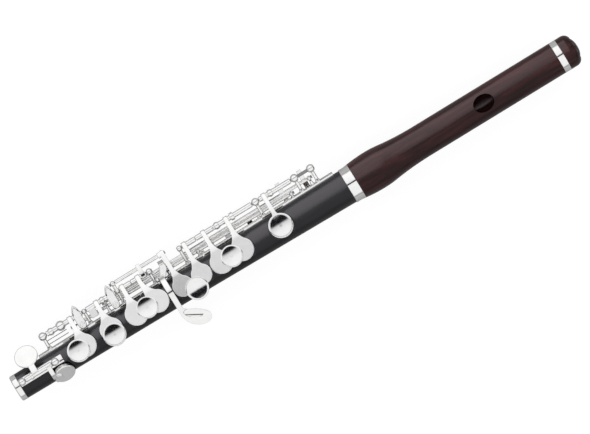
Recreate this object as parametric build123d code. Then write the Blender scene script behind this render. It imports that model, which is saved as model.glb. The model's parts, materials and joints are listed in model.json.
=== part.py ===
from build123d import *
import math
import os

# A conical-bore wooden piccolo with a split-E key system, in millimetres.
# +X runs along the tube from the foot end to the crown, +Y points to the player's side,
# and +Z is up, through the row of tone holes. The origin is on the tube's axis at the foot end.
# Angles round the tube are measured from +Z towards +Y.

# Body tube, from the foot ring to the socket
WOOD_FOOT_X = 3.0
WOOD_BEND_X = 110.0
WOOD_HEAD_X = 190.0
FOOT_RADIUS = 6.75
BEND_RADIUS = 7.6
HEAD_END_RADIUS = 8.75
BORE_FOOT_RADIUS = 4.4
BORE_HEAD_RADIUS = 5.5
SLEEVE_END_X = 8.0
SLEEVE_RADIUS = 5.0
FOOT_RING_RADIUS = 6.8

# Socket and tenon
SOCKET_BOTTOM_X = 177.0
SOCKET_MOUTH_X = 195.0
SOCKET_RADIUS = 6.5
SOCKET_SLEEVE_RADIUS = 7.0
SOCKET_RING_RADIUS = 9.4
TENON_START_X = 178.4
TENON_END_X = 203.0
TENON_RADIUS = 6.45
CORK_START_X = 181.0
CORK_END_X = 191.0
CORK_GROOVE_RADIUS = 6.05

# Headjoint
HEAD_START_X = 195.05
BULB_X = 206.0
BULB_RADIUS = 10.1
BULB_START_RADIUS = 9.4
NECK_X = 232.0
HEAD_RADIUS = 8.3
HEAD_WOOD_END_X = 310.0
HEAD_RING_END_X = 313.3
EMBOUCHURE_X = 267.7
EMBOUCHURE_LENGTH = 10.9
EMBOUCHURE_WIDTH = 8.7

# Crown and stopper
CROWN_START_X = 313.35
CROWN_END_X = 321.5
CROWN_FACE_RADIUS = 4.9
CROWN_LOBES = 10
SPIGOT_START_X = 306.0
SPIGOT_RADIUS = 5.42
SCREW_RADIUS = 1.5
SCREW_START_X = 280.0
SCREW_GRIP = 5.0
STOPPER_FACE_X = 275.2
STOPPER_CORK_END_X = 287.0
STOPPER_RADIUS = 5.42
PLATE_THICKNESS = 1.0

# Pads, cups and seats
SEAT_DEPTH = 0.9
RECESS_DEPTH = 0.8
RECESS_GAP = 0.5
CUP_LIFT = 0.4
CUP_HEIGHT = 1.8
CUP_TOP = 0.55
CUP_WALL = 0.4
RIM_ROUNDING = 0.5
PAD_GAP = 0.06
PAD_SLACK = 0.02

# Hinges
STEEL_RADIUS = 0.8
TUBE_BORE = 0.87
TUBE_RADIUS = 1.35
STEM_RADIUS = 0.85
SMALL_STEM_RADIUS = 0.65
LONG_STRAP_THICKNESS = 1.5
SHORT_STRAP_THICKNESS = 0.8
POST_SLOPE = 0.25
LOWER_Y = 15.1
UPPER_Y = 17.0
SPLIT_Y = 19.3
G_SHARP_AXIS = (9.4, 5.2)
TRILL_AXIS = {"trill_1": (13.4, 1.0), "trill_2": (11.4, -1.2)}
THUMB_AXIS = (12.0, -5.0)
FOOT_KEY_AXIS = (1.5, 10.3)
TRILL_ROD_RADIUS = 0.9
SPLIT_ROD_RADIUS = 0.95
SPLIT_ROD = (68.8, 94.3)
SPLIT_POSTS = (67.3, 95.6)
SPRING_RADIUS = 0.2
PIVOT_RADIUS = 0.46
PIVOT_BORE = 0.52

# Finger touches
DISH_RADIUS = 4.85
DISH_DEPTH = 0.24
TOUCH_THICKNESS = 1.3
TOUCH_LIFT = 0.4
ARM_THICKNESS = 0.9

# The open stack keys: cup centre, cup radius, tone hole radius, arm centre, radius of the arm's
# flare into the cup, hinge line, and the ends of the hinge tube.
STACK = {
    "d": dict(x=40.3, cup=5.75, hole=2.6, arm=40.4, flare=10.0, y=LOWER_Y, tube=(27.0, 46.9)),
    "e": dict(x=55.4, cup=5.8, hole=2.6, arm=55.5, flare=10.0, y=LOWER_Y, tube=(49.7, 65.9)),
    "f": dict(x=69.8, cup=5.8, hole=2.7, arm=70.3, flare=10.0, y=LOWER_Y, tube=(68.7, 75.0)),
    "f_sharp": dict(x=81.8, cup=5.8, hole=2.7, arm=79.2, flare=10.0, y=LOWER_Y, tube=(75.3, 83.6)),
    "g_lower": dict(x=96.2, cup=5.25, hole=2.6, arm=95.6, flare=10.0, y=SPLIT_Y, tube=None),
    "g_upper": dict(x=106.9, cup=5.2, hole=2.6, arm=106.9, flare=10.0, y=UPPER_Y, tube=(105.7, 113.0)),
    "a": dict(x=118.3, cup=5.8, hole=2.6, arm=117.9, flare=10.0, y=UPPER_Y, tube=(113.3, 123.0)),
    "b_flat": dict(x=130.1, cup=5.8, hole=2.5, arm=130.8, flare=10.0, y=UPPER_Y, tube=(123.3, 145.2)),
    "c": dict(x=152.2, cup=6.2, hole=2.3, arm=152.5, flare=2.0, y=UPPER_Y, tube=(149.7, 167.4)),
}
KEY_LIFT = 1.9          # how high an open stack pad stands over its seat
ARM_WIDTH = 2.2

# Round collars on the hinge tubes: owner key, middle, radius
COLLARS = {
    "d": [(29.4, 1.9), (34.9, 2.5)],
    "e": [(58.7, 1.8)],
    "b_flat": [(125.4, 1.9)],
    "c": [(155.9, 1.9)],
}

# Dished finger touches: owner key, centre, radius, tilt towards the player in degrees, stem
TOUCHES = {
    "d": dict(x=36.4, y=-0.7, r=5.75, tilt=0.8, stem=(38.3, 0.0, 2.5)),
    "e": dict(x=55.5, y=-3.1, r=5.85, tilt=-0.3, stem=(55.4, -1.2, 3.0)),
    "f": dict(x=75.9, y=-0.2, r=5.5, tilt=0.8, stem=(72.8, 0.2, 2.0)),
    "g_upper": dict(x=101.6, y=-4.7, r=5.85, tilt=-6.0, stem=(104.4, -1.9, 1.7)),
    "a": dict(x=124.1, y=-0.3, r=5.6, tilt=1.5, stem=(121.2, 0.2, 2.0)),
}

# Pads off the top line: cup centre, angle round the tube, cup radius, tone hole radius
# Main ball posts on the long strap: X, hinge line's Y, ball radius.
MAIN_POSTS = [(24.7, LOWER_Y, 2.1), (48.3, LOWER_Y, 1.3), (85.5, LOWER_Y, 1.6), (104.0, UPPER_Y, 1.5),
              (147.5, UPPER_Y, 2.0), (169.8, UPPER_Y, 2.1), (179.0, UPPER_Y, 2.1)]
FOOT_POSTS = [(4.9, 1.9), (23.7, 2.0)]          # X, ball radius
THUMB_POSTS = [(112.8, 1.6), (145.2, 1.6)]
G_SHARP_POSTS = (87.0, 94.2)
STEADYING_POST_X = 111.0

# Straps: X from, X to, angle from, angle to (degrees round the tube from the top).
LONG_STRAP = (18.0, 187.0, 66, 100)
FOOT_STRAP = (3.5, 27.7, -5, 26)
THUMB_STRAP = (111.0, 147.0, 103.5, 122)

# Needle springs: X of the post, hinge line's Y, how far inside that line the needle lies.
SPRING_REACH = 11.0
SPRINGS = [(24.7, LOWER_Y, 3.0), (24.7, LOWER_Y, 4.9), (48.3, LOWER_Y, 3.0), (67.3, LOWER_Y, 3.0),
           (104.0, UPPER_Y, 3.0), (147.5, UPPER_Y, 3.0)]

# G sharp lever: the width of its arm in X, and the Y and Z path of its arm behind the hinge.
G_SHARP_ARM = (87.9, 90.6)
G_SHARP_BACK_ARM = (91.2, 94.0)
G_SHARP_BACK_PATH = [(13.8, 6.5), (15.9, 4.0), (16.4, 0.5), (14.4, -2.8), (10.5, -4.6), (4.5, -7.9)]

SIDE_PADS = {
    "d_sharp": dict(x=24.7, angle=-50, cup=5.5, hole=2.7),
    "g_sharp": dict(x=90.2, angle=150, cup=4.9, hole=2.5),
    "trill_1": dict(x=173.3, angle=135, cup=3.6, hole=1.7),
    "trill_2": dict(x=161.0, angle=135, cup=3.6, hole=1.7),
    "thumb": dict(x=140.0, angle=180, cup=5.4, hole=2.4),
}
THUMB_OPEN = 4.8        # degrees that the thumb key stands open


def tube_radius(x):
    """Outside radius of the body tube: two straight tapers."""
    if x < WOOD_BEND_X:
        share = (x - WOOD_FOOT_X) / (WOOD_BEND_X - WOOD_FOOT_X)
        return FOOT_RADIUS + share * (BEND_RADIUS - FOOT_RADIUS)
    share = (x - WOOD_BEND_X) / (WOOD_HEAD_X - WOOD_BEND_X)
    return BEND_RADIUS + share * (HEAD_END_RADIUS - BEND_RADIUS)


def post_z(y):
    """Height of a hinge line that stands this far out on the player's side."""
    return y * POST_SLOPE


def seat_height(x):
    """Distance from the tube's axis to the pad seat."""
    return tube_radius(x) - SEAT_DEPTH


def cup_top(x):
    """Distance from the tube's axis to the top of a closed cup."""
    return seat_height(x) + CUP_LIFT + CUP_HEIGHT


def rod(x_from, x_to, y, z, radius):
    """A round bar along X."""
    bar = Cylinder(radius, x_to - x_from, align=(Align.CENTER, Align.CENTER, Align.MIN))
    return Pos(x_from, y, z) * Rot(0, 90, 0) * bar


def tube(x_from, x_to, y, z, radius, bore):
    """A round tube along X."""
    return rod(x_from, x_to, y, z, radius) - rod(x_from - 1, x_to + 1, y, z, bore)


def turned(points):
    """A body turned about the tube's axis from (x, radius) points."""
    return revolve(make_face(Polyline(*points, close=True)), axis=Axis.X)


def disc(x, y, base, radius, height):
    """A flat disc with its lower face at a given height."""
    return Pos(x, y, base) * Cylinder(radius, height, align=(Align.CENTER, Align.CENTER, Align.MIN))


def around(shape, angle):
    """Turn a shape made over the top of the tube to its angle round the tube."""
    return Rot(-angle, 0, 0) * shape


def bent_bar(x_from, x_to, points, thickness):
    """A flat bar bent in the YZ plane: a smooth middle line with an even thickness."""
    normals = []
    for index in range(len(points)):
        before = points[max(index - 1, 0)]
        after = points[min(index + 1, len(points) - 1)]
        run = (after[0] - before[0], after[1] - before[1])
        length = math.hypot(*run)
        normals.append((-run[1] / length, run[0] / length))
    half = thickness / 2
    upper = [(p[0] + n[0] * half, p[1] + n[1] * half) for p, n in zip(points, normals)]
    lower = [(p[0] - n[0] * half, p[1] - n[1] * half) for p, n in zip(points, normals)]
    if len(points) == 2:
        outline = Polyline(*upper, *reversed(lower), close=True)
    else:
        sides = Spline(*upper) + Spline(*lower)
        outline = sides + Line(upper[0], lower[0]) + Line(upper[-1], lower[-1])
    face = Plane.YZ.offset(x_from) * make_face(outline)
    return extrude(face, amount=x_to - x_from)


def about_line(shape, y, z, degrees):
    """Turn a shape about a line parallel to X."""
    return shape.rotate(Axis((0, y, z), (1, 0, 0)), degrees)


def all_pads():
    """Every pad as (x, angle, cup radius, tone hole radius)."""
    top_line = [(key["x"], 0, key["cup"], key["hole"]) for key in STACK.values()]
    sides = [(pad["x"], pad["angle"], pad["cup"], pad["hole"]) for pad in SIDE_PADS.values()]
    return top_line + sides


def body_tube():
    """The wooden body with its conical bore, socket, cut pad seats and tone holes."""
    wood = turned([
        (WOOD_FOOT_X, 0), (WOOD_HEAD_X, 0), (WOOD_HEAD_X, HEAD_END_RADIUS),
        (WOOD_BEND_X, BEND_RADIUS), (WOOD_FOOT_X, FOOT_RADIUS),
    ])
    reach = 14.0
    rim = 1.5
    for x, angle, cup, hole in all_pads():
        seat = seat_height(x)
        boss_radius = hole + rim
        wood += around(disc(x, 0, BORE_FOOT_RADIUS, boss_radius, seat - BORE_FOOT_RADIUS), angle)
        recess = disc(x, 0, seat - RECESS_DEPTH, cup + RECESS_GAP, reach)
        recess -= disc(x, 0, seat - RECESS_DEPTH - 1, boss_radius, 1 + RECESS_DEPTH)
        wood -= around(recess, angle)
        wood -= around(disc(x, 0, 0, hole, reach), angle)
    inside = turned([
        (WOOD_FOOT_X - 1, 0), (WOOD_FOOT_X - 1, SLEEVE_RADIUS), (SLEEVE_END_X, SLEEVE_RADIUS),
        (SLEEVE_END_X, BORE_FOOT_RADIUS), (SOCKET_BOTTOM_X, BORE_HEAD_RADIUS),
        (SOCKET_BOTTOM_X, SOCKET_SLEEVE_RADIUS), (WOOD_HEAD_X + 1, SOCKET_SLEEVE_RADIUS),
        (WOOD_HEAD_X + 1, 0),
    ])
    return wood - inside


def foot_ring():
    """Foot end ring with the sleeve that lines the end of the bore."""
    return turned([
        (0, BORE_FOOT_RADIUS), (SLEEVE_END_X, BORE_FOOT_RADIUS), (SLEEVE_END_X, SLEEVE_RADIUS),
        (WOOD_FOOT_X, SLEEVE_RADIUS), (WOOD_FOOT_X, FOOT_RING_RADIUS),
        (0.5, FOOT_RING_RADIUS), (0, FOOT_RING_RADIUS - 0.5),
    ])


def socket_ring():
    """The stepped silver ring at the mouth of the socket, with the sleeve that lines the socket."""
    groove = 0.35
    middle = (WOOD_HEAD_X + SOCKET_MOUTH_X) / 2
    return turned([
        (SOCKET_BOTTOM_X, SOCKET_RADIUS), (SOCKET_MOUTH_X, SOCKET_RADIUS),
        (SOCKET_MOUTH_X, SOCKET_RING_RADIUS), (middle, SOCKET_RING_RADIUS - groove),
        (WOOD_HEAD_X, HEAD_END_RADIUS + groove), (WOOD_HEAD_X, SOCKET_SLEEVE_RADIUS),
        (SOCKET_BOTTOM_X, SOCKET_SLEEVE_RADIUS),
    ])


def head_tube():
    """The wooden headjoint: a bulb at the socket, a waist, and a straight tube."""
    bend_x = BULB_X + 6.0
    drop = (BULB_RADIUS - HEAD_RADIUS) * (bend_x - BULB_X) / (NECK_X - BULB_X)
    start = (HEAD_START_X, BULB_START_RADIUS)
    peak = (BULB_X, BULB_RADIUS)
    bend = (bend_x, BULB_RADIUS - drop)
    neck = (NECK_X, HEAD_RADIUS)
    end = (HEAD_WOOD_END_X, HEAD_RADIUS)
    outline = ThreePointArc(start, (200.5, 9.95), peak)
    outline += TangentArc(peak, bend, tangent=(1, 0))
    outline += TangentArc(neck, bend, tangent=(-1, 0))
    outline += Polyline(
        neck, end, (HEAD_WOOD_END_X, BORE_HEAD_RADIUS), (TENON_END_X, BORE_HEAD_RADIUS),
        (TENON_END_X, TENON_RADIUS), (HEAD_START_X, TENON_RADIUS), start)
    wood = revolve(make_face(outline), axis=Axis.X)
    hole = extrude(
        Pos(EMBOUCHURE_X, 0, 0) * Ellipse(EMBOUCHURE_LENGTH / 2, EMBOUCHURE_WIDTH / 2), amount=14)
    return wood - hole


def head_tenon():
    """Silver tenon: its thick end holds the headjoint, and a groove round it takes the cork."""
    return turned([
        (TENON_START_X, BORE_HEAD_RADIUS), (TENON_END_X, BORE_HEAD_RADIUS), (TENON_END_X, TENON_RADIUS),
        (CORK_END_X, TENON_RADIUS), (CORK_END_X, CORK_GROOVE_RADIUS),
        (CORK_START_X, CORK_GROOVE_RADIUS), (CORK_START_X, TENON_RADIUS), (TENON_START_X, TENON_RADIUS),
    ])


def tenon_cork():
    """The cork band in the tenon's groove."""
    return turned([
        (CORK_START_X, CORK_GROOVE_RADIUS), (CORK_END_X, CORK_GROOVE_RADIUS),
        (CORK_END_X, TENON_RADIUS), (CORK_START_X, TENON_RADIUS),
    ])


def head_ring():
    """Silver ring between the headjoint's wood and the crown."""
    return turned([
        (HEAD_WOOD_END_X, BORE_HEAD_RADIUS), (HEAD_RING_END_X, BORE_HEAD_RADIUS),
        (HEAD_RING_END_X, HEAD_RADIUS), (HEAD_WOOD_END_X, HEAD_RADIUS),
    ])


def crown():
    """The domed wooden crown with a lobed end and a spigot that turns in the bore."""
    shoulder_x = CROWN_START_X + 3.2
    face = (CROWN_END_X - 1.2, CROWN_FACE_RADIUS)
    tip = (CROWN_END_X, 0.8)
    outline = Polyline(
        tip, (CROWN_END_X, 0), (SPIGOT_START_X, 0), (SPIGOT_START_X, SPIGOT_RADIUS),
        (CROWN_START_X, SPIGOT_RADIUS), (CROWN_START_X, HEAD_RADIUS), (shoulder_x, HEAD_RADIUS))
    outline += ThreePointArc((shoulder_x, HEAD_RADIUS), (CROWN_END_X - 2.2, 7.2), face)
    outline += ThreePointArc(face, (CROWN_END_X - 0.3, 2.9), tip)
    body = revolve(make_face(outline), axis=Axis.X)
    body -= rod(SPIGOT_START_X - 1, SPIGOT_START_X + SCREW_GRIP, 0, 0, SCREW_RADIUS)
    notch_radius = 0.9
    for index in range(CROWN_LOBES):
        notch = rod(CROWN_END_X - 2.4, CROWN_END_X + 1, 0, CROWN_FACE_RADIUS + 0.6, notch_radius)
        body -= Rot(360 / CROWN_LOBES * index, 0, 0) * notch
    return body


def crown_screw():
    """The stopper's threaded rod, fixed in the crown; its thread is drawn as a plain cylinder."""
    return rod(SCREW_START_X, SPIGOT_START_X + SCREW_GRIP, 0, 0, SCREW_RADIUS)


def stopper_parts():
    """The cork stopper and the silver plates on its two faces."""
    cork = rod(STOPPER_FACE_X + PLATE_THICKNESS, STOPPER_CORK_END_X, 0, 0, STOPPER_RADIUS)
    cork -= rod(SCREW_START_X - 1, STOPPER_CORK_END_X + 1, 0, 0, SCREW_RADIUS + 0.05)
    face_plate = rod(STOPPER_FACE_X, STOPPER_FACE_X + PLATE_THICKNESS, 0, 0, STOPPER_RADIUS)
    nut_plate = tube(
        STOPPER_CORK_END_X, STOPPER_CORK_END_X + PLATE_THICKNESS, 0, 0, STOPPER_RADIUS, SCREW_RADIUS + 0.05)
    return cork, face_plate, nut_plate


def strap(x_from, x_to, from_angle, to_angle, thickness):
    """A curved silver rib strap that lies on the wood between two angles round the tube."""
    stops = [x_from] + [x for x in (WOOD_BEND_X,) if x_from < x < x_to] + [x_to]
    lower = [(x, tube_radius(x)) for x in stops]
    upper = [(x, radius + thickness) for x, radius in reversed(lower)]
    plate = revolve(
        make_face(Polyline(*lower, *upper, close=True)), axis=Axis.X, revolution_arc=to_angle - from_angle)
    return Rot(90 - to_angle, 0, 0) * plate


def strap_envelope(x, thickness):
    """Everything inside the outer face of a strap, near one post."""
    reach = 4.0
    start, end = x - reach, x + reach
    return turned([
        (start, 0), (end, 0), (end, tube_radius(end) + thickness), (start, tube_radius(start) + thickness)])


def ball_post(x, y, z, ball, angle=None, stem=STEM_RADIUS, bore=STEEL_RADIUS, middle=None,
              strap_thickness=LONG_STRAP_THICKNESS):
    """A ball-headed post turned in one piece, from the strap to the ball, bored for its steel.

    A tall post has a second ball part of the way up, for the steel nearer the tube.
    """
    if angle is None:
        angle = math.degrees(math.atan2(y, z))
    start = tube_radius(x) - 0.2
    foot = Vector(0, math.sin(math.radians(angle)) * start, math.cos(math.radians(angle)) * start)
    head = Vector(0, y, z)
    length = (head - foot).length
    base = 1.6 * stem
    neck = length - math.sqrt(ball ** 2 - stem ** 2)
    flare_low = strap_thickness + 0.3
    flare_high = min(flare_low + 1.5, neck - 0.1)
    outline = Polyline((0, length + ball), (0, 0), (base, 0), (base, flare_low), (stem, flare_high))
    if middle:
        centre = length - math.hypot(y - middle, z - post_z(middle))
        half = math.sqrt(ball ** 2 - stem ** 2)
        outline += Line((stem, flare_high), (stem, centre - half))
        outline += ThreePointArc((stem, centre - half), (ball, centre), (stem, centre + half))
        outline += Line((stem, centre + half), (stem, neck))
    else:
        outline += Line((stem, flare_high), (stem, neck))
    outline += ThreePointArc((stem, neck), (ball, length), (0, length + ball))
    turned_post = revolve(make_face(outline), axis=Axis.Y)
    plane = Plane(origin=Vector(x, 0, 0) + foot, z_dir=head - foot, x_dir=(1, 0, 0))
    shape = plane * Rot(90, 0, 0) * turned_post
    shape -= rod(x - 4, x + 4, y, z, bore)
    if middle:
        shape -= rod(x - 4, x + 4, middle, post_z(middle), STEEL_RADIUS)
    return shape - strap_envelope(x, strap_thickness)


def pad_cup(x, cup, angle):
    """An inverted metal cup that holds a pad."""
    base = seat_height(x) + CUP_LIFT
    shell = disc(x, 0, base, cup, CUP_HEIGHT)
    shell = fillet(shell.edges().group_by(Axis.Z)[-1], RIM_ROUNDING)
    shell -= disc(x, 0, base - 1, cup - CUP_WALL, 1 + CUP_HEIGHT - CUP_TOP)
    return around(shell, angle)


def felt_pad(x, cup, angle):
    """The skin-covered felt pad inside a cup."""
    base = seat_height(x) + PAD_GAP
    top = seat_height(x) + CUP_LIFT + CUP_HEIGHT - CUP_TOP
    return around(disc(x, 0, base, cup - CUP_WALL - PAD_SLACK, top - base), angle)


def hinge_tube(x_from, x_to, y, z):
    """The tube of a key, bored to turn on its steel."""
    return tube(x_from, x_to, y, z, TUBE_RADIUS, TUBE_BORE)


def flare_point(centre, start, end):
    """The middle of the arc from start to end about a centre."""
    radius = math.hypot(start[0] - centre[0], start[1] - centre[1])
    middle = ((start[0] + end[0]) / 2 - centre[0], (start[1] + end[1]) / 2 - centre[1])
    length = math.hypot(*middle)
    return (centre[0] + middle[0] / length * radius, centre[1] + middle[1] / length * radius)


def teardrop(name):
    """Plan of an arm: straight sides, then arcs that flare out and run into the rim of the cup."""
    key = STACK[name]
    x, cup, arm_x, flare = key["x"], key["cup"] - 0.15, key["arm"], key["flare"]
    half = ARM_WIDTH / 2
    end_y = key["y"] + TUBE_RADIUS + 0.3 - half
    outline = ThreePointArc((arm_x + half, end_y), (arm_x, end_y + half), (arm_x - half, end_y))
    on_circle = []
    for side in (-1, 1):
        edge = arm_x + side * half
        centre_x = edge + side * flare
        across = centre_x - x
        centre = (centre_x, math.sqrt((cup + flare) ** 2 - across ** 2))
        share = cup / (cup + flare)
        touch_point = (x + across * share, centre[1] * share)
        straight_end = (edge, centre[1])
        outline += Line((edge, end_y), straight_end)
        outline += ThreePointArc(straight_end, flare_point(centre, straight_end, touch_point), touch_point)
        on_circle.append(touch_point)
    outline += Polyline(on_circle[0], (x - 2, 1), (x + 2, 1), on_circle[1])
    return make_face(outline)


def arm_side(name, x_from, x_to):
    """The bent sheet that an arm is cut from: flat over the cup, then down to its hinge line."""
    key = STACK[name]
    y, z = key["y"], post_z(key["y"])
    top = cup_top(key["x"])
    far_y = -key["cup"] - 1
    flat_y = 6.0
    bend = [(flat_y, top), (y - 3.5, top - 1.25), (y, z + 2.1), (y + 2.0, z + 0.9)]
    under = [(point[0], point[1] - ARM_THICKNESS) for point in bend]
    outline = Line((far_y, top), bend[0]) + Spline(*bend, tangents=((1, 0), (1, -0.9)))
    outline += Line(bend[-1], under[-1]) + Spline(*under, tangents=((1, 0), (1, -0.9)))
    outline += Line(under[0], (far_y, top - ARM_THICKNESS))
    outline += Line((far_y, top - ARM_THICKNESS), (far_y, top))
    return extrude(Plane.YZ.offset(x_from) * make_face(outline), amount=x_to - x_from)


def stack_hinge(name):
    """The tube, collars and arm hub of a stack key; the lower G turns on a solid rod instead."""
    key = STACK[name]
    y, z = key["y"], post_z(key["y"])
    arm_x = key["arm"]
    half = ARM_WIDTH / 2
    if name == "g_lower":
        shape = rod(SPLIT_ROD[0], SPLIT_ROD[1], y, z, SPLIT_ROD_RADIUS)
        shape += rod(SPLIT_ROD[1] - 1.2, SPLIT_ROD[1], y, z, SPLIT_ROD_RADIUS + 0.5)
        shape += bent_bar(81.2, 83.3, [(13.8, z + 1.3), (16.6, z + 1.4), (y + 1.7, z + 0.6)], 0.8)
        shape -= rod(SPLIT_ROD[0] - 1, SPLIT_ROD[0] + 1.2, y, z, PIVOT_BORE)
        return shape - rod(SPLIT_ROD[1] - 1.0, SPLIT_ROD[1] + 1, y, z, PIVOT_BORE)
    shape = rod(key["tube"][0], key["tube"][1], y, z, TUBE_RADIUS)
    shape += rod(arm_x - half, arm_x + half, y, z, TUBE_RADIUS + 0.5)
    for middle, radius in COLLARS.get(name, []):
        shape += Pos(middle, y, z) * Rot(0, 90, 0) * Sphere(radius)
    if name == "e":
        shape += bent_bar(50.2, 53.8, [(9.8, z + 0.55), (y, z + 0.6)], 0.8)
    if name == "b_flat":
        shape += rod(133.2, 135.0, y, z, TUBE_RADIUS + 0.7)
    return shape - rod(key["tube"][0] - 1, key["tube"][1] + 1, y, z, TUBE_BORE)


def stack_key(name):
    """A stack key soldered up from its cup, arm and hinge tube, in its closed place."""
    key = STACK[name]
    x, y, z = key["x"], key["y"], post_z(key["y"])
    plan = teardrop(name)
    if name == "g_lower":
        foot_x = SPLIT_ROD[1] - 1.2
        plan += Pos((foot_x + key["arm"]) / 2, y) * Rectangle(key["arm"] - foot_x, 2.4)
    plate = arm_side(name, x - 8, x + 8) & extrude(plan, amount=20)
    base = seat_height(x) + CUP_LIFT
    plate += disc(x, 0, base, key["cup"], CUP_HEIGHT)
    plate -= disc(x, 0, base - 1, key["cup"] - CUP_WALL, 1 + CUP_HEIGHT - CUP_TOP)
    if name == "g_lower":
        plate -= rod(SPLIT_ROD[1], SPLIT_ROD[1] + 4, y, z, SPLIT_ROD_RADIUS + 0.2)
        plate -= rod(SPLIT_ROD[0], SPLIT_ROD[1], y, z, SPLIT_ROD_RADIUS)
    else:
        plate -= rod(x - 8, x + 8, y, z, TUBE_RADIUS)
    return plate + stack_hinge(name)


def dished(x, y, top, radius, depth):
    """The ball that presses a shallow dish of this radius and depth into a face."""
    ball = (radius ** 2 + depth ** 2) / (2 * depth)
    return Pos(x, y, top - depth + ball) * Sphere(ball)


def dished_touch(name):
    """A finger touch: a ring with a dished face on a short stem above the cup."""
    touch = TOUCHES[name]
    x, y = touch["x"], touch["y"]
    top = cup_top(STACK[name]["x"])
    base = top + TOUCH_LIFT
    plate = disc(x, y, base, touch["r"], TOUCH_THICKNESS)
    plate = fillet(plate.edges(), 0.45)
    plate -= dished(x, y, base + TOUCH_THICKNESS, DISH_RADIUS, DISH_DEPTH)
    plate = about_line(plate, y, base, -touch["tilt"])
    stem_x, stem_y, stem_radius = touch["stem"]
    return plate + disc(stem_x, stem_y, top, stem_radius, TOUCH_LIFT + 0.4)


def c_dish():
    """The dished ring that forms the top of the C key's own cup."""
    key = STACK["c"]
    rise = 0.9
    top = cup_top(key["x"]) + rise
    plate = disc(key["x"], 0, top - rise - 0.3, key["cup"], rise + 0.3)
    plate = fillet(plate.edges().group_by(Axis.Z)[-1], 0.45)
    return plate - dished(key["x"], 0, top, 5.1, 0.27)


def opened(shape, y, degrees):
    """Lift a stack piece from its closed place to its open rest place."""
    return about_line(shape, y, post_z(y), -degrees)


def stack_opening(name):
    """How far a stack key turns between open and closed, in degrees."""
    return math.degrees(KEY_LIFT / STACK[name]["y"])


def d_sharp_key():
    """The foot key: tube, tilted round touch and a band over the tube to its cup."""
    y, z = FOOT_KEY_AXIS
    pad = SIDE_PADS["d_sharp"]
    tube_from, tube_to = 6.9, 21.5
    touch_x, touch_y, touch_z = 12.8, 11.0, 7.4
    touch = Pos(touch_x, touch_y, touch_z) * Rot(-27.5, 0, 0) * Cylinder(5.9, 1.1)
    touch = fillet(touch.edges(), 0.45)
    arm = bent_bar(11.2, 14.4, [(y, z + 1.0), (y + 3.2, z + 0.3), (touch_y - 3.0, touch_z + 1.1)], 0.9)
    band = bent_bar(18.6, 20.8, [(y, z + 1.0), (-1.6, z + 0.6), (-5.6, 6.9)], 0.9)
    cup = pad_cup(pad["x"], pad["cup"], pad["angle"])
    saddle = around(disc(21.2, 0, cup_top(pad["x"]) - 0.1, 2.2, 0.8), pad["angle"])
    clear = rod(tube_from - 2, tube_to + 2, y, z, TUBE_RADIUS)
    shape = rod(tube_from, tube_to, y, z, TUBE_RADIUS)
    shape += rod(9.9, 10.9, y, z, TUBE_RADIUS + 0.4)
    shape += (arm - clear) + touch + (band - clear) + saddle + cup
    return shape - rod(tube_from - 1, tube_to + 1, y, z, TUBE_BORE)


def g_sharp_spoon(left, right):
    """The lever's finger spoon: its plan runs on from the arm and hooks towards the headjoint."""
    points = [(left, -9.0), (left + 0.1, -12.6), (89.6, -16.6), (93.2, -19.8), (97.2, -21.0),
              (100.2, -19.9), (100.9, -17.6), (99.2, -14.8), (95.6, -12.1), (92.4, -10.3), (right, -9.0)]
    plan = make_face(Spline(*points) + Line(points[-1], points[0]))
    sheet = bent_bar(85.0, 103.0, [(-8.0, 8.4), (-12.0, 6.6), (-16.5, 5.6), (-22.5, 5.2)], 1.2)
    spoon = sheet & extrude(plan, amount=20)
    bowl = scale(Sphere(1), by=(6.6, 2.9, 1.6))
    return spoon - Pos(94.8, -14.6, 7.6) * Rot(0, 0, -38) * bowl


def g_sharp_key():
    """The G sharp lever: a spoon over the far side, an arm over the tube, a cup at the back."""
    y, z = G_SHARP_AXIS
    pad = SIDE_PADS["g_sharp"]
    left, right = G_SHARP_ARM
    tube_from, tube_to = 88.15, 93.0
    shape = rod(tube_from, tube_to, y, z, TUBE_RADIUS)
    over = bent_bar(left, right, [(y + 0.4, z + 1.4), (6.3, 9.7), (0.5, 11.4), (-5.5, 9.8), (-9.2, 7.8)], 1.1)
    bridge = extrude(
        Pos(0, 0, z + 0.8) * make_face(Polyline(
            (88.2, 8.6), (91.0, 8.6), (94.0, 12.2), (94.0, 14.9), (91.2, 14.9), close=True)), amount=1.0)
    back = bent_bar(G_SHARP_BACK_ARM[0], G_SHARP_BACK_ARM[1], G_SHARP_BACK_PATH, 1.0)
    inner = around(disc(pad["x"], 0, 0, pad["cup"] - CUP_WALL, cup_top(pad["x"]) - CUP_TOP), pad["angle"])
    shape += over + bridge + (back - inner) + g_sharp_spoon(left, right)
    shape += pad_cup(pad["x"], pad["cup"], pad["angle"])
    return shape - rod(tube_from - 1, tube_to + 1, y, z, TUBE_BORE)


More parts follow.
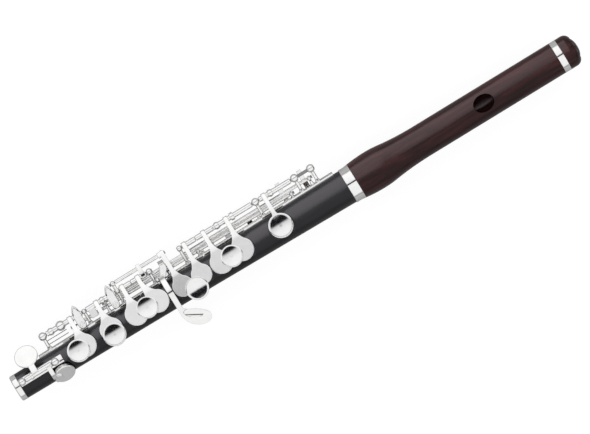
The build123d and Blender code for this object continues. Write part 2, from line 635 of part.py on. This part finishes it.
def trill_touch(x, y_axis, z_axis):
    """The long pointed touch of a trill key with its slotted boss, and the arm down to its rod."""
    base = 6.3
    thickness = 1.3
    half_width = 2.05
    inner_y = 9.9
    waist_y = 15.6
    tip = (x + 0.3, 20.5)
    outline = ThreePointArc((x - half_width, waist_y), (x - 1.2, 18.6), tip)
    outline += ThreePointArc(tip, (x + 1.6, 18.6), (x + half_width, waist_y))
    outline += Line((x + half_width, waist_y), (x + half_width, inner_y))
    outline += ThreePointArc((x + half_width, inner_y), (x, inner_y - half_width), (x - half_width, inner_y))
    outline += Line((x - half_width, inner_y), (x - half_width, waist_y))
    plate = extrude(Pos(0, 0, base) * make_face(outline), amount=thickness)
    plate = fillet(plate.edges().group_by(Axis.Z)[-1], 0.7)
    top = base + thickness
    plate += disc(x, inner_y, base, 1.3, thickness + 0.2)
    plate -= Pos(x, inner_y, top + 0.2) * Rot(0, 0, 35) * Box(3, 0.45, 0.6)
    arm = bent_bar(x - 0.9, x + 0.9, [(y_axis, z_axis), (y_axis - 0.9, 4.0), (11.0, base + 0.3)], 1.0)
    return plate + arm


def trill_key(name, touch_x, rod_end):
    """A trill key: a long rod with its touch at one end and its cup at the other."""
    y, z = TRILL_AXIS[name]
    pad = SIDE_PADS[name]
    x = pad["x"]
    shape = rod(touch_x - 2.2, rod_end, y, z, TRILL_ROD_RADIUS)
    shape += trill_touch(touch_x, y, z)
    tangent = math.sin(math.radians(45))
    top = cup_top(x) + 0.3
    centre = (top * tangent, -top * tangent)
    corner = (centre[0] + 4.4 * tangent, centre[1] + 4.4 * tangent)
    shape += bent_bar(x - 1.3, x + 1.3, [centre, corner, (y, z)], 0.9)
    shape += bent_bar(x - 1.2, x + 1.2, [(y, z - 0.1), (19.4, z - 0.1)], 1.1)
    inner = around(disc(x, 0, 0, pad["cup"] - CUP_WALL, cup_top(x) - CUP_TOP), 135)
    shape = shape - inner + pad_cup(x, pad["cup"], 135)
    shape -= rod(touch_x - 3, touch_x - 1.2, y, z, PIVOT_BORE)
    return shape - rod(rod_end - 1.0, rod_end + 1, y, z, PIVOT_BORE)


def thumb_b_key():
    """The thumb key on the back: cup, arm, tube and thumb plate, in its closed place."""
    y, z = THUMB_AXIS
    top = cup_top(SIDE_PADS["thumb"]["x"])
    shape = hinge_tube(122.6, 143.4, y, z)
    arm = bent_bar(138.6, 141.4, [(0.0, -top - 0.3), (4.5, -top - 0.4), (9.0, -8.6), (y, z - 1.0)], 0.9)
    plate = Pos(127.6, 2.6, -11.4) * Cylinder(5.0, 1.2)
    plate = fillet(plate.edges(), 0.45)
    plate_arm = bent_bar(126.0, 129.0, [(4.0, -11.4), (8.4, -9.6), (y, z - 1.0)], 0.9)
    clear = rod(100, 150, y, z, TUBE_RADIUS)
    shape += (arm - clear) + plate + (plate_arm - clear)
    shape += pad_cup(SIDE_PADS["thumb"]["x"], SIDE_PADS["thumb"]["cup"], 180)
    return shape


def b_flat_lever():
    """The thumb B flat lever beside the thumb key's plate."""
    y, z = THUMB_AXIS
    shape = hinge_tube(114.6, 122.2, y, z)
    plate = Pos(118.2, 3.4, -11.4) * extrude(Ellipse(3.3, 5.4), 1.2)
    arm = bent_bar(116.8, 119.6, [(5.2, -10.9), (8.8, -9.4), (y, z - 1.0)], 0.9)
    return shape + plate + (arm - rod(100, 150, y, z, TUBE_RADIUS))


def main_posts():
    """Ball posts on the long strap that carry the stack steels and the split rod."""
    posts = [ball_post(x, y, post_z(y), ball) for x, y, ball in MAIN_POSTS]
    split_z = post_z(SPLIT_Y)
    posts.append(ball_post(SPLIT_POSTS[0], SPLIT_Y, split_z, 1.35, bore=PIVOT_RADIUS, middle=LOWER_Y))
    posts.append(ball_post(SPLIT_POSTS[1], SPLIT_Y, split_z, 1.0, bore=PIVOT_RADIUS, stem=SMALL_STEM_RADIUS))
    return posts


def g_sharp_posts():
    """The two small posts that carry the G sharp lever."""
    y, z = G_SHARP_AXIS
    return [ball_post(x, y, z, 1.05, stem=SMALL_STEM_RADIUS, bore=0.6) for x in G_SHARP_POSTS]


def pivot_ends():
    """Each rod end that turns on a pivot screw: post, hinge line, stem angle, which way is outward."""
    first = TRILL_AXIS["trill_1"]
    second = TRILL_AXIS["trill_2"]
    return [(59.2, first, 70, -1), (176.0, first, 80, 1), (40.2, second, 96, -1), (164.6, second, 96, 1)]


def trill_posts():
    """Small posts at the ends of the two trill rods, and one that steadies the longer rod."""
    posts = [ball_post(x, axis[0], axis[1], 1.15, angle=angle, stem=SMALL_STEM_RADIUS, bore=PIVOT_RADIUS)
             for x, axis, angle, _ in pivot_ends()]
    y, z = TRILL_AXIS["trill_2"]
    posts.append(ball_post(STEADYING_POST_X, y, z, 1.4, angle=96, stem=SMALL_STEM_RADIUS,
                           bore=TRILL_ROD_RADIUS + 0.07))
    return posts


def pivot_screw(x, y, z, outward, reach):
    """A pivot screw through a post: its tip enters the rod's end and its head is outside the ball."""
    inner = x - outward * 1.9
    outer = x + outward * (reach + 0.45)
    screw = rod(min(inner, outer), max(inner, outer), y, z, PIVOT_RADIUS)
    head = x + outward * (reach + 0.25)
    return screw + rod(head - 0.25, head + 0.25, y, z, 0.8)


def pivot_screws():
    """Pivot screws for both ends of the trill rods and of the split rod."""
    screws = [pivot_screw(x, axis[0], axis[1], outward, 1.15) for x, axis, _, outward in pivot_ends()]
    split_z = post_z(SPLIT_Y)
    screws.append(pivot_screw(SPLIT_POSTS[0], SPLIT_Y, split_z, -1, 1.35))
    screws.append(pivot_screw(SPLIT_POSTS[1], SPLIT_Y, split_z, 1, 1.1))
    return screws


def short_strap_posts(axis, spots):
    """Posts for the foot key and the thumb keys, one solid each."""
    return [ball_post(x, axis[0], axis[1], ball, strap_thickness=SHORT_STRAP_THICKNESS) for x, ball in spots]


def needle_springs():
    """Steel needle springs that run from the posts' stems under the arms."""
    springs = []
    for x, post_y, drop in SPRINGS:
        start = x + STEM_RADIUS + 0.02
        y = post_y - drop
        springs.append(rod(start, start + SPRING_REACH, y, post_z(y), SPRING_RADIUS))
    return springs


def g_sharp_steel():
    """The short steel of the G sharp lever, turned down at its ends."""
    y, z = G_SHARP_AXIS
    return rod(88.1, 93.1, y, z, STEEL_RADIUS) + rod(86.2, 95.0, y, z, 0.6)


def write(name, shape):
    """Write one node; a list becomes a group of separate solids."""
    if isinstance(shape, (list, tuple)):
        shape = Compound(children=[solid for item in shape for solid in item.solids()])
    export_step(shape, "parts/" + name + ".step")


def main():
    os.makedirs("parts", exist_ok=True)
    cork, face_plate, nut_plate = stopper_parts()
    thumb_y, thumb_z = THUMB_AXIS
    write("body_tube", body_tube())
    write("foot_ring", foot_ring())
    write("socket_ring", socket_ring())
    write("head_tube", head_tube())
    write("head_tenon", head_tenon())
    write("tenon_cork", tenon_cork())
    write("head_ring", head_ring())
    write("crown", crown())
    write("crown_screw", crown_screw())
    write("stopper_cork", cork)
    write("stopper_plates", [face_plate, nut_plate])
    write("long_strap", strap(*LONG_STRAP, LONG_STRAP_THICKNESS))
    write("foot_strap", strap(*FOOT_STRAP, SHORT_STRAP_THICKNESS))
    write("thumb_strap", strap(*THUMB_STRAP, SHORT_STRAP_THICKNESS))
    write("stack_posts", main_posts())
    write("small_posts", g_sharp_posts() + trill_posts())
    write("pivot_screws", pivot_screws())
    write("foot_posts", short_strap_posts(FOOT_KEY_AXIS, FOOT_POSTS))
    write("thumb_posts", short_strap_posts(THUMB_AXIS, THUMB_POSTS))
    write("steel_lower_stack", rod(23.0, 87.2, LOWER_Y, post_z(LOWER_Y), STEEL_RADIUS))
    write("steel_upper_stack", rod(102.8, 180.7, UPPER_Y, post_z(UPPER_Y), STEEL_RADIUS))
    write("steel_g_sharp", g_sharp_steel())
    write("steel_foot_key", rod(3.3, 25.4, FOOT_KEY_AXIS[0], FOOT_KEY_AXIS[1], STEEL_RADIUS))
    write("steel_thumb_keys", rod(111.6, 146.4, thumb_y, thumb_z, STEEL_RADIUS))
    write("needle_springs", needle_springs())
    for name, key in STACK.items():
        lift = stack_opening(name)
        shape = stack_key(name)
        if name == "c":
            shape += c_dish()
        write("key_" + name, opened(shape, key["y"], lift))
        write("pad_" + name, opened(felt_pad(key["x"], key["cup"], 0), key["y"], lift))
    for name in TOUCHES:
        key = STACK[name]
        write("touch_" + name, opened(dished_touch(name), key["y"], stack_opening(name)))
    write("key_d_sharp", d_sharp_key())
    write("key_g_sharp", g_sharp_key())
    write("key_trill_1", trill_key("trill_1", 63.5, 174.75))
    write("key_trill_2", trill_key("trill_2", 44.5, 163.35))
    write("key_thumb_b", about_line(thumb_b_key(), thumb_y, thumb_z, THUMB_OPEN))
    write("lever_b_flat", about_line(b_flat_lever(), thumb_y, thumb_z, THUMB_OPEN))
    for name, pad in SIDE_PADS.items():
        shape = felt_pad(pad["x"], pad["cup"], pad["angle"])
        if name == "thumb":
            shape = about_line(shape, thumb_y, thumb_z, THUMB_OPEN)
        write("pad_" + name, shape)


main()
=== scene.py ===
"""Looks for the wooden piccolo: camera, studio light and materials."""
import json
import math

import bpy
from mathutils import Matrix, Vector


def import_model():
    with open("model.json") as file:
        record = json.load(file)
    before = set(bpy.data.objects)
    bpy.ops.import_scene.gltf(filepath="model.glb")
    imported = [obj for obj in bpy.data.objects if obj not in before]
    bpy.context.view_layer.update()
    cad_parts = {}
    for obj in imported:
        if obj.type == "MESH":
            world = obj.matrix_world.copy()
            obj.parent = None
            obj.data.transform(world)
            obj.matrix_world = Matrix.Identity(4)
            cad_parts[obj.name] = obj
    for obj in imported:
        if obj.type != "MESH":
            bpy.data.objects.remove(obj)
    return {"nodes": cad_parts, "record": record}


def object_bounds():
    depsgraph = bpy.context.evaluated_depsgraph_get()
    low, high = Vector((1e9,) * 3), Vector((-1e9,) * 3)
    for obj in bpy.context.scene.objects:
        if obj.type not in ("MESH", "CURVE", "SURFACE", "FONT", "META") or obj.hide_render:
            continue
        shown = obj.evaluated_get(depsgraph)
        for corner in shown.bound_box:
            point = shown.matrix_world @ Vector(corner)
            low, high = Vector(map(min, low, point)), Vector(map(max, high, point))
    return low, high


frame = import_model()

CAD_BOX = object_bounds()
NODES = frame["nodes"]

# Camera: its distance, the width that it sees, and how far the tube climbs in the picture.
CAMERA_DISTANCE = 3.5
VIEW_WIDTH = 0.2883
CLIMB_DEGREES = 31.45
CAMERA_SHIFT_X = -0.0005
CAMERA_SHIFT_Y = 0.00065

# Studio: the wood's own softbox, and how bright the room and the table are.
WOOD_LIGHT_WATTS = 8.0
WOOD_LIGHT_PLACE = (0.50, 0.42)
WOOD_LIGHT_SIZE = (1.6, 0.55)
ROOM_STRENGTH = 1.06
FLOOR_HALF_SIDE = 4.0
FLOOR_GAP = 0.0005
FLOOR_GLOW = 0.88

# The softening of silver edges.
EDGE_ROUNDING = 0.0005


# ---------------------------------------------------------------- shader helpers

def new_material(name):
    """A material with an empty node tree apart from its shader and output."""
    material = bpy.data.materials.new(name)
    material.use_nodes = True
    tree = material.node_tree
    shader = tree.nodes["Principled BSDF"]
    return material, tree, shader


def object_coordinates(tree, scale):
    """Object coordinates stretched by a scale along each axis."""
    place = tree.nodes.new("ShaderNodeTexCoord")
    mapping = tree.nodes.new("ShaderNodeMapping")
    mapping.inputs["Scale"].default_value = scale
    tree.links.new(place.outputs["Object"], mapping.inputs["Vector"])
    return mapping.outputs["Vector"]


def noise(tree, vector, scale, detail=4.0, roughness=0.55, distortion=0.0):
    """A noise texture's grey output."""
    node = tree.nodes.new("ShaderNodeTexNoise")
    node.inputs["Scale"].default_value = scale
    node.inputs["Detail"].default_value = detail
    node.inputs["Roughness"].default_value = roughness
    node.inputs["Distortion"].default_value = distortion
    tree.links.new(vector, node.inputs["Vector"])
    return node.outputs["Fac"]


def ramp(tree, factor, stops):
    """A colour ramp with (position, colour) stops."""
    node = tree.nodes.new("ShaderNodeValToRGB")
    elements = node.color_ramp.elements
    while len(elements) > len(stops):
        elements.remove(elements[-1])
    while len(elements) < len(stops):
        elements.new(1.0)
    for element, (position, colour) in zip(elements, stops):
        element.position = position
        element.color = (*colour, 1.0)
    tree.links.new(factor, node.inputs["Fac"])
    return node.outputs["Color"]


def scaled(tree, factor, low, high, source_low=0.0, source_high=1.0):
    """Map a grey value to a new range."""
    node = tree.nodes.new("ShaderNodeMapRange")
    node.inputs["From Min"].default_value = source_low
    node.inputs["From Max"].default_value = source_high
    node.inputs["To Min"].default_value = low
    node.inputs["To Max"].default_value = high
    tree.links.new(factor, node.inputs["Value"])
    return node.outputs["Result"]


def mixed(tree, factor, first, second, blend="MIX"):
    """Mix two colours; each may be an output socket or a constant, and so may the factor."""
    node = tree.nodes.new("ShaderNodeMix")
    node.data_type = "RGBA"
    node.blend_type = blend
    for socket, value in ((node.inputs[0], factor), (node.inputs[6], first), (node.inputs[7], second)):
        if isinstance(value, bpy.types.NodeSocket):
            tree.links.new(value, socket)
        else:
            socket.default_value = value
    return node.outputs[2]


def bumped(tree, shader, height, strength, distance, rounding=0.0):
    """Give a shader a bump from a height value, over edges softened by a rounding radius."""
    node = tree.nodes.new("ShaderNodeBump")
    if rounding:
        soft = tree.nodes.new("ShaderNodeBevel")
        soft.samples = 6
        soft.inputs["Radius"].default_value = rounding
        tree.links.new(soft.outputs["Normal"], node.inputs["Normal"])
    node.inputs["Strength"].default_value = strength
    node.inputs["Distance"].default_value = distance
    tree.links.new(height, node.inputs["Height"])
    tree.links.new(node.outputs["Normal"], shader.inputs["Normal"])


# ---------------------------------------------------------------- materials

def silver_material():
    """Polished silver: fine polishing haze, faint hand wear, and tiny scratches."""
    material, tree, shader = new_material("silver")
    shader.inputs["Metallic"].default_value = 1.0
    cloud = noise(tree, object_coordinates(tree, (1, 1, 1)), 260, detail=3)
    tint = ramp(tree, cloud, [(0.25, (0.90, 0.895, 0.885)), (0.75, (0.965, 0.962, 0.955))])
    tree.links.new(tint, shader.inputs["Base Color"])
    wipe = noise(tree, object_coordinates(tree, (1, 1, 1)), 700, detail=6, roughness=0.7)
    tree.links.new(scaled(tree, wipe, 0.03, 0.10, 0.3, 0.75), shader.inputs["Roughness"])
    scratch = noise(tree, object_coordinates(tree, (0.25, 1.6, 1.6)), 5200, detail=2, roughness=0.8)
    bumped(tree, shader, scratch, 0.05, 0.00002, rounding=EDGE_ROUNDING)
    return material


def steel_material():
    """Drawn steel: fine lines along its length and a cooler, duller shine than silver."""
    material, tree, shader = new_material("steel")
    shader.inputs["Metallic"].default_value = 1.0
    line = noise(tree, object_coordinates(tree, (0.05, 1, 1)), 6000, detail=3)
    tint = ramp(tree, line, [(0.3, (0.22, 0.22, 0.23)), (0.7, (0.36, 0.36, 0.37))])
    tree.links.new(tint, shader.inputs["Base Color"])
    tree.links.new(scaled(tree, line, 0.18, 0.34), shader.inputs["Roughness"])
    bumped(tree, shader, line, 0.15, 0.00003)
    return material


def wood_material(name, dark, middle, light, gloss, streak_share, sheen):
    """Oiled close-grained wood: long streaks, fine fibres along the tube, and short open pores."""
    material, tree, shader = new_material(name)
    streak = noise(tree, object_coordinates(tree, (0.09, 1, 1)), 420, detail=6, roughness=0.62, distortion=0.6)
    broad = noise(tree, object_coordinates(tree, (0.12, 1, 1)), 120, detail=3)
    fibre = noise(tree, object_coordinates(tree, (0.045, 1, 1)), 3200, detail=4, roughness=0.7)
    base = ramp(tree, streak, [(0.34, dark), (0.52, middle), (0.74, light)])
    cloud = ramp(tree, broad, [(0.3, dark), (0.7, middle)])
    colour = mixed(tree, 1 - streak_share, base, cloud)
    fine = ramp(tree, fibre, [(0.32, (0.62, 0.62, 0.62)), (0.62, (1.12, 1.12, 1.12))])
    colour = mixed(tree, 0.55, colour, fine, "MULTIPLY")
    tree.links.new(colour, shader.inputs["Base Color"])
    tree.links.new(scaled(tree, fibre, gloss, gloss + 0.08, 0.3, 0.7), shader.inputs["Roughness"])
    shader.inputs["Specular IOR Level"].default_value = 0.32
    shader.inputs["Specular Tint"].default_value = (*sheen, 1.0)
    pore = noise(tree, object_coordinates(tree, (0.11, 1, 1)), 2600, detail=2, roughness=0.4)
    depth = ramp(tree, pore, [(0.30, (0.0, 0.0, 0.0)), (0.40, (1.0, 1.0, 1.0))])
    bumped(tree, shader, depth, 0.12, 0.00006)
    return material


def cork_material():
    """Greased cork: warm granules with dark pores."""
    material, tree, shader = new_material("cork")
    cells = tree.nodes.new("ShaderNodeTexVoronoi")
    cells.inputs["Scale"].default_value = 1500
    tree.links.new(object_coordinates(tree, (1, 1, 1)), cells.inputs["Vector"])
    grain = ramp(tree, cells.outputs["Distance"], [(0.0, (0.66, 0.46, 0.29)), (0.8, (0.40, 0.25, 0.14))])
    tree.links.new(grain, shader.inputs["Base Color"])
    shader.inputs["Roughness"].default_value = 0.7
    bumped(tree, shader, cells.outputs["Distance"], 0.4, 0.0001)
    return material


def pad_material():
    """Bladder skin over felt: pale, slightly glossy, with fine wrinkles."""
    material, tree, shader = new_material("pad_skin")
    wrinkle = noise(tree, object_coordinates(tree, (1, 1, 1)), 900, detail=5, distortion=1.2)
    tint = ramp(tree, wrinkle, [(0.3, (0.72, 0.62, 0.46)), (0.7, (0.90, 0.83, 0.70))])
    tree.links.new(tint, shader.inputs["Base Color"])
    tree.links.new(scaled(tree, wrinkle, 0.35, 0.55), shader.inputs["Roughness"])
    shader.inputs["Sheen Weight"].default_value = 0.2
    bumped(tree, shader, wrinkle, 0.3, 0.00008)
    return material


MATERIALS = {
    "silver": silver_material(),
    "steel": steel_material(),
    "grenadilla": wood_material(
        "grenadilla", (0.004, 0.004, 0.005), (0.007, 0.007, 0.008), (0.012, 0.011, 0.013), 0.27, 0.6,
        (0.98, 0.96, 1.0)),
    "rosewood": wood_material(
        "rosewood", (0.007, 0.003, 0.003), (0.022, 0.007, 0.007), (0.050, 0.014, 0.014), 0.20, 0.8,
        (0.62, 0.52, 0.52)),
    "cork": cork_material(),
    "pad_skin": pad_material(),
}


def paint(thing, name):
    """Give an object one of the materials."""
    thing.data.materials.clear()
    thing.data.materials.append(MATERIALS[name])


for part in frame["record"]["subparts"]:
    paint(NODES[part["node"]], part["material_slot"])


# ---------------------------------------------------------------- studio

def camera():
    """A long lens straight above the tone holes, rolled so that the tube climbs to the right."""
    data = bpy.data.cameras.new("camera")
    thing = bpy.data.objects.new("camera", data)
    bpy.context.scene.collection.objects.link(thing)
    data.lens = data.sensor_width * CAMERA_DISTANCE / VIEW_WIDTH
    data.clip_start = 0.1
    data.clip_end = 20
    centre_x = (CAD_BOX[0].x + CAD_BOX[1].x) / 2
    thing.location = (centre_x + CAMERA_SHIFT_X, CAMERA_SHIFT_Y, CAMERA_DISTANCE)
    thing.rotation_euler = (0, 0, -math.radians(CLIMB_DEGREES))
    bpy.context.scene.camera = thing


def wood_light():
    """A long softbox on the player's side that brightens only the wood."""
    data = bpy.data.lights.new("wood_light", "AREA")
    data.shape = "RECTANGLE"
    data.size, data.size_y = WOOD_LIGHT_SIZE
    data.energy = WOOD_LIGHT_WATTS
    data.color = (1.0, 0.97, 1.0)
    thing = bpy.data.objects.new("wood_light", data)
    bpy.context.scene.collection.objects.link(thing)
    middle = (CAD_BOX[0].x + CAD_BOX[1].x) / 2
    thing.location = (middle, *WOOD_LIGHT_PLACE)
    thing.rotation_euler = (Vector((middle, 0, 0)) - thing.location).to_track_quat("-Z", "X").to_euler()
    wood = bpy.data.collections.new("lit_wood")
    for part in frame["record"]["subparts"]:
        if part["material_slot"] in ("grenadilla", "rosewood"):
            wood.objects.link(NODES[part["node"]])
    thing.light_linking.receiver_collection = wood


def floor():
    """A white table that glows to the camera and is plain grey in reflections."""
    side = FLOOR_HALF_SIDE
    low = CAD_BOX[0].z - FLOOR_GAP
    mesh = bpy.data.meshes.new("floor")
    mesh.from_pydata([(-side, -side, low), (side, -side, low), (side, side, low), (-side, side, low)], [],
                     [(0, 1, 2, 3)])
    thing = bpy.data.objects.new("floor", mesh)
    bpy.context.scene.collection.objects.link(thing)
    material, tree, shader = new_material("floor")
    shader.inputs["Base Color"].default_value = (0.52, 0.52, 0.52, 1)
    shader.inputs["Roughness"].default_value = 0.7
    glow = tree.nodes.new("ShaderNodeEmission")
    glow.inputs["Strength"].default_value = FLOOR_GLOW
    pale = tree.nodes.new("ShaderNodeBsdfDiffuse")
    pale.inputs["Color"].default_value = (0.20, 0.20, 0.20, 1)
    both = tree.nodes.new("ShaderNodeAddShader")
    path = tree.nodes.new("ShaderNodeLightPath")
    choose = tree.nodes.new("ShaderNodeMixShader")
    tree.links.new(pale.outputs["BSDF"], both.inputs[0])
    tree.links.new(glow.outputs["Emission"], both.inputs[1])
    tree.links.new(path.outputs["Is Camera Ray"], choose.inputs["Fac"])
    tree.links.new(shader.outputs["BSDF"], choose.inputs[1])
    tree.links.new(both.outputs["Shader"], choose.inputs[2])
    tree.links.new(choose.outputs["Shader"], tree.nodes["Material Output"].inputs["Surface"])
    mesh.materials.append(material)


def world():
    """Two long softboxes with a dark gap between them: white on the player's side, grey on the far side."""
    scene = bpy.context.scene
    scene.world = bpy.data.worlds.new("studio")
    scene.world.use_nodes = True
    tree = scene.world.node_tree
    background = tree.nodes["Background"]
    place = tree.nodes.new("ShaderNodeTexCoord")
    split = tree.nodes.new("ShaderNodeSeparateXYZ")
    tree.links.new(place.outputs["Generated"], split.inputs["Vector"])
    across = scaled(tree, split.outputs["Y"], 0.0, 1.0, -1.0, 1.0)
    stops = [(-0.85, (0.88, 0.88, 0.89)), (-0.20, (0.88, 0.88, 0.88)), (0.035, (0.84, 0.84, 0.85)),
             (0.050, (0.008, 0.008, 0.010)), (0.165, (0.008, 0.008, 0.010)), (0.205, (0.66, 0.66, 0.67)),
             (0.30, (0.86, 0.86, 0.87)), (0.44, (0.93, 0.93, 0.94)), (0.95, (1.0, 0.995, 1.0))]
    colour = ramp(tree, across, [((y + 1) / 2, shade) for y, shade in stops])
    height = ramp(tree, split.outputs["Z"], [(0.02, (0.25, 0.25, 0.25)), (0.28, (1.0, 1.0, 1.0))])
    colour = mixed(tree, 1.0, colour, height, "MULTIPLY")
    tree.links.new(colour, background.inputs["Color"])
    background.inputs["Strength"].default_value = ROOM_STRENGTH


camera()
floor()
world()
wood_light()
bpy.context.scene.view_settings.view_transform = "Standard"
